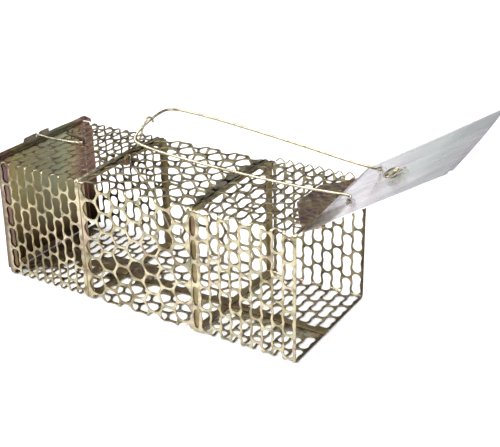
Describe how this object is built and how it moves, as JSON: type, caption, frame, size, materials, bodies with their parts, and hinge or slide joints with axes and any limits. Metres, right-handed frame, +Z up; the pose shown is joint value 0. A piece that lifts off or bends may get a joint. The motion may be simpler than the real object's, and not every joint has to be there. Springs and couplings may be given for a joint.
{
  "type": "live catch trap",
  "caption": "Live catch trap: perforated sheet cage with a raised falling door, lock loop, trigger with bait hook, and a rear release door with a wire latch.",
  "frame": {"origin": "middle of the cage's underside, on the plane it stands on", "axes": "+X towards the falling front door, +Z up, -Y the near side"},
  "size_m": [0.4529, 0.1308, 0.2049],
  "materials": {
    "chromated_mesh": "yellow chromate over zinc, perforated",
    "chromated_sheet": "dark iridescent chromate over zinc",
    "gold_wire": "pale gold zinc plated wire",
    "galvanised": "smooth galvanised sheet"
  },
  "bodies": {
    "cage": {"rear_near_wall": "chromated_mesh", "rear_far_wall": "chromated_mesh", "rear_roof": "chromated_mesh", "rear_floor": "chromated_mesh", "middle_near_wall": "chromated_mesh", "middle_far_wall": "chromated_mesh", "middle_roof": "chromated_mesh", "middle_floor": "chromated_mesh", "front_near_wall": "chromated_mesh", "front_far_wall": "chromated_mesh", "front_roof": "chromated_mesh", "front_floor": "chromated_mesh", "floor_plate": "chromated_sheet", "rear_floor_plate": "chromated_sheet", "front_hinge_plate": "chromated_sheet", "door_hinge_rod": "gold_wire", "door_spring_near": "gold_wire", "door_spring_far": "gold_wire", "trigger_bracket": "chromated_sheet", "trigger_pin": "gold_wire", "rear_hinge_pin": "gold_wire", "rear_hinge_clip_near": "chromated_sheet", "rear_hinge_clip_far": "chromated_sheet", "rear_latch_staple": "chromated_sheet"},
    "door": {"door_plate": "galvanised", "door_knuckle_near": "galvanised", "door_knuckle_far": "galvanised", "loop_staple_near": "galvanised", "loop_staple_far": "galvanised", "door_wire_clip": "gold_wire"},
    "lock_loop": {"lock_loop": "gold_wire"},
    "trigger": {"trigger_wire": "gold_wire"},
    "rear_door": {"rear_door": "chromated_sheet"},
    "rear_latch": {"rear_latch_wire": "gold_wire"}
  },
  "joints": [
    {"name": "door_hinge", "type": "hinge", "parent": "cage", "child": "door", "pos_m": [0.1756, 0, 0.1308], "axis": [-0.0505, 0.9976, 0.0469], "range_deg": [0, 128]},
    {"name": "lock_loop_pivot", "type": "hinge", "parent": "door", "child": "lock_loop", "pos_m": [0.1884, -0.00002, 0.14511], "axis": [-0.0505, 0.9976, 0.0469], "range_deg": [0, 70]},
    {"name": "trigger_pivot", "type": "hinge", "parent": "cage", "child": "trigger", "pos_m": [-0.05, -0.006, 0.1244], "axis": [0, 1, 0], "range_deg": [0, 25]},
    {"name": "rear_door_hinge", "type": "hinge", "parent": "cage", "child": "rear_door", "pos_m": [-0.1684, 0, 0.0027], "axis": [0, -1, 0], "range_deg": [0, 95]},
    {"name": "rear_latch_pivot", "type": "hinge", "parent": "cage", "child": "rear_latch", "pos_m": [-0.118, 0.0095, 0.1222], "axis": [0, 1, 0], "range_deg": [0, 85]}
  ]
}
